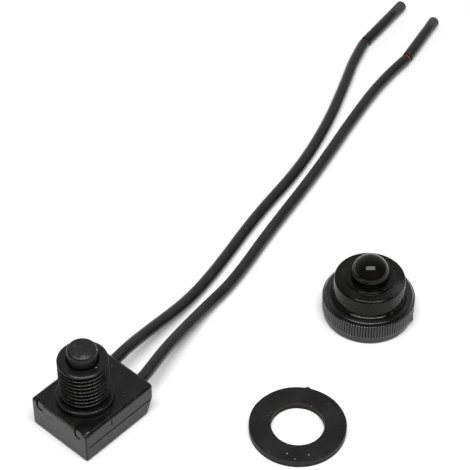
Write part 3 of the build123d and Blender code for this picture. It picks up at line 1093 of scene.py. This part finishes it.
gasket_rubber = moulded(
    "gasket dull rubber",
    colour=grey(0.006),
    rough=(0.34, 0.44),
    grain={"Fine": 4200.0, "Cloud": 600.0},
    wear={"Width": 0.0003, "Patch": 1400.0, "Amount": 0.15},
    dust={"Cells": 2500.0, "Share": 0.12, "Speck": 0.16, "Film": 0.02},
    worn_colour=grey(0.04, 0.05),
    bump=0.00002,
    ior=1.35,
    marks=gasket_marks,
)
lead_insulation = moulded(
    "lead satin insulation",
    colour=grey(0.008),
    rough=(0.26, 0.36),
    grain={"Fine": 3600.0, "Cloud": 260.0},
    wear={"Width": 0.0001, "Patch": 1200.0, "Amount": 0.0},
    dust={"Cells": 2300.0, "Share": 0.03, "Speck": 0.15, "Film": 0.02},
    worn_colour=grey(0.05),
    bump=0.000012,
    marks=lead_marks,
)
rotor_plastic = moulded(
    "rotor nylon",
    colour=(0.62, 0.6, 0.54, 1.0),
    rough=(0.35, 0.5),
    grain={"Fine": 5200.0, "Cloud": 520.0},
    wear={"Width": 0.0002, "Patch": 1500.0, "Amount": 0.2},
    dust={"Cells": 1500.0, "Share": 0.0, "Speck": 0.2, "Film": 0.0},
    worn_colour=(0.75, 0.74, 0.7, 1.0),
    bump=0.00001,
)
rubbers = (boot_rubber, gasket_rubber, lead_insulation)
plastics = (housing_plastic, button_plastic, nut_plastic, rotor_plastic)
print("moulded finishes:", ", ".join(finish.name for finish in plastics + rubbers))

# %% [markdown]
# The metals are inside or at the leads' ends: bare copper, brass strips, silvery contact rivets and spring
# steel. A metal's colour is in its reflection, so each is a metallic shader with a tarnish that dulls it in
# clouds.

# %% Metals
tarnish_grain = {"Fine": 7000.0, "Cloud": 900.0}
tarnish_relief = 0.000004
tarnish_strength = 0.5


def metal(name, bright, tarnished, rough):
    """A metal between its bright and its tarnished colour, with its smoothest and roughest value."""
    material, tree, shader = new_finish(name)
    clouds = use_group(tree, grain_group, **tarnish_grain)
    tree.links.new(tint(tree, clouds["Cloud"], bright, tarnished), shader.inputs["Base Color"])
    tree.links.new(spread(tree, clouds["Cloud"], 0.0, 1.0, *rough), shader.inputs["Roughness"])
    relief = {"Height": clouds["Height"], "Distance": tarnish_relief, "Strength": tarnish_strength}
    tree.links.new(put(tree, "Bump", relief).outputs["Normal"], shader.inputs["Normal"])
    shader.inputs["Metallic"].default_value = 1.0
    return material


copper = metal("copper strand", (0.86, 0.42, 0.26, 1.0), (0.5, 0.2, 0.12, 1.0), (0.22, 0.4))
brass = metal("brass strip", (0.83, 0.66, 0.32, 1.0), (0.55, 0.42, 0.2, 1.0), (0.2, 0.38))
contact_metal = metal("contact rivet", (0.86, 0.85, 0.82, 1.0), (0.6, 0.58, 0.55, 1.0), (0.18, 0.32))
spring_steel = metal("spring steel", (0.62, 0.62, 0.63, 1.0), (0.36, 0.35, 0.34, 1.0), (0.22, 0.36))
print("metals:", copper.name, brass.name, contact_metal.name, spring_steel.name)

# %% [markdown]
# Now each piece takes its finish, its place in the construction and the body it moves with. The
# construction's own solids stay where their shape is right, and only get a better material. New pieces
# stand for the solids they hide.

# %% Dress the pieces


def set_finish(piece, material):
    """Puts a material on a piece or a construction node."""
    if piece.material_slots:
        piece.material_slots[0].material = material
    else:
        piece.data.materials.append(material)


def stand_for(piece, node, material):
    """A new piece takes a node's place and finish, and the body that carries all of them."""
    set_finish(piece, material)
    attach(piece, "housing")
    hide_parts(node)


stand_for(threaded_cover, "top_cover", housing_plastic)
stand_for(knurled_nut, "cap_nut", nut_plastic)
stand_for(glossy_boot, "sealing_boot", boot_rubber)
stand_for(rubber_washer, "gasket_washer", gasket_rubber)
stand_for(left_lead, "lead_left_jacket", lead_insulation)
stand_for(right_lead, "lead_right_jacket", lead_insulation)
stand_for(left_slug, "lead_left_slug", lead_insulation)
stand_for(right_slug, "lead_right_slug", lead_insulation)
stand_for(left_copper, "lead_left_strands", copper)
stand_for(right_copper, "lead_right_strands", copper)
stand_for(coil_spring, "return_spring", spring_steel)

node_finish = {
    "housing_base": housing_plastic,
    "push_button": button_plastic,
    "ratchet_rotor": rotor_plastic,
    "contact_star": brass,
    "terminal_left": brass,
    "terminal_right": brass,
    "rivet_left": contact_metal,
    "rivet_right": contact_metal,
    "lead_left_core": copper,
    "lead_right_core": copper,
}
for name, material in node_finish.items():
    set_finish(nodes[name], material)
print("dressed:", len(node_finish), "construction nodes")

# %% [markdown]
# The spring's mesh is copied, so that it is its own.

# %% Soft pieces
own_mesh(coil_spring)

# %% [markdown]
# The light is one large softbox, high on the camera's side, and the dome of the boot mirrors it as a small
# bright window. The rest of the room is dim, so flat tops go dark while upright sides mirror the white
# table. The table is pale by its own colour, and a little glow for camera and mirror rays takes it to the
# photograph's white while the soft shadows stay.

# %% Lamp
softbox_height = math.radians(74)
softbox_distance = 0.6
softbox_size = (0.57, 0.23)
softbox_power = 4.2
subject = Vector((50, -5, 5)) * MM

level_back = -Vector((math.cos(camera_heading), math.sin(camera_heading), 0))
to_softbox = level_back * math.cos(softbox_height) + Vector((0, 0, math.sin(softbox_height)))
softbox = bpy.data.objects.new("softbox", bpy.data.lights.new("softbox", "AREA"))
softbox.data.shape = "RECTANGLE"
softbox.data.size, softbox.data.size_y = softbox_size
softbox.data.energy = softbox_power
softbox.location = subject + to_softbox * softbox_distance
softbox.rotation_mode = "QUATERNION"
softbox.rotation_quaternion = (-to_softbox).to_track_quat("-Z", "Y")
bpy.context.scene.collection.objects.link(softbox)
print("softbox at", [round(value, 2) for value in softbox.location], "m")

# %% Table
table_size = 6.0
table_drop = 0.01 * MM
table_glow = 0.1

bm = bmesh.new()
bmesh.ops.create_grid(bm, x_segments=1, y_segments=1, size=table_size / 2)
bmesh.ops.translate(bm, verts=bm.verts, vec=(subject.x, subject.y, -table_drop))
table = add_piece("table", bm)
table_finish, tree, shader = new_finish("pale table")
shader.inputs["Base Color"].default_value = grey(0.9)
shader.inputs["Roughness"].default_value = 0.8
shader.inputs["Specular IOR Level"].default_value = 0.1
shader.inputs["Emission Color"].default_value = grey(1.0)
rays = put(tree, "LightPath").outputs
seen = calc(tree, "MAXIMUM", rays["Is Camera Ray"], rays["Is Glossy Ray"])
seen = calc(tree, "MAXIMUM", seen, rays["Is Transmission Ray"])
tree.links.new(calc(tree, "MULTIPLY", seen, table_glow), shader.inputs["Emission Strength"])
set_finish(table, table_finish)
print("table:", table_size, "m wide")

# %% Room
room_near = 0.022
room_far = 0.58
room_span = (-0.2, 0.9)

room = bpy.data.worlds.new("room")
room.use_nodes = True
tree = room.node_tree
background = tree.nodes["Background"]
background.inputs["Color"].default_value = grey(1.0)
toward = put(tree, "TexCoord").outputs["Generated"]
away = put(tree, "VectorMath", {0: toward, 1: -level_back}, operation="DOT_PRODUCT").outputs["Value"]
level = spread(tree, away, *room_span, room_near, room_far)
level = calc(tree, "MAXIMUM", level, put(tree, "LightPath").outputs["Is Camera Ray"])
tree.links.new(level, background.inputs["Strength"])
bpy.context.scene.world = room
print("room: from", room_near, "to", room_far)
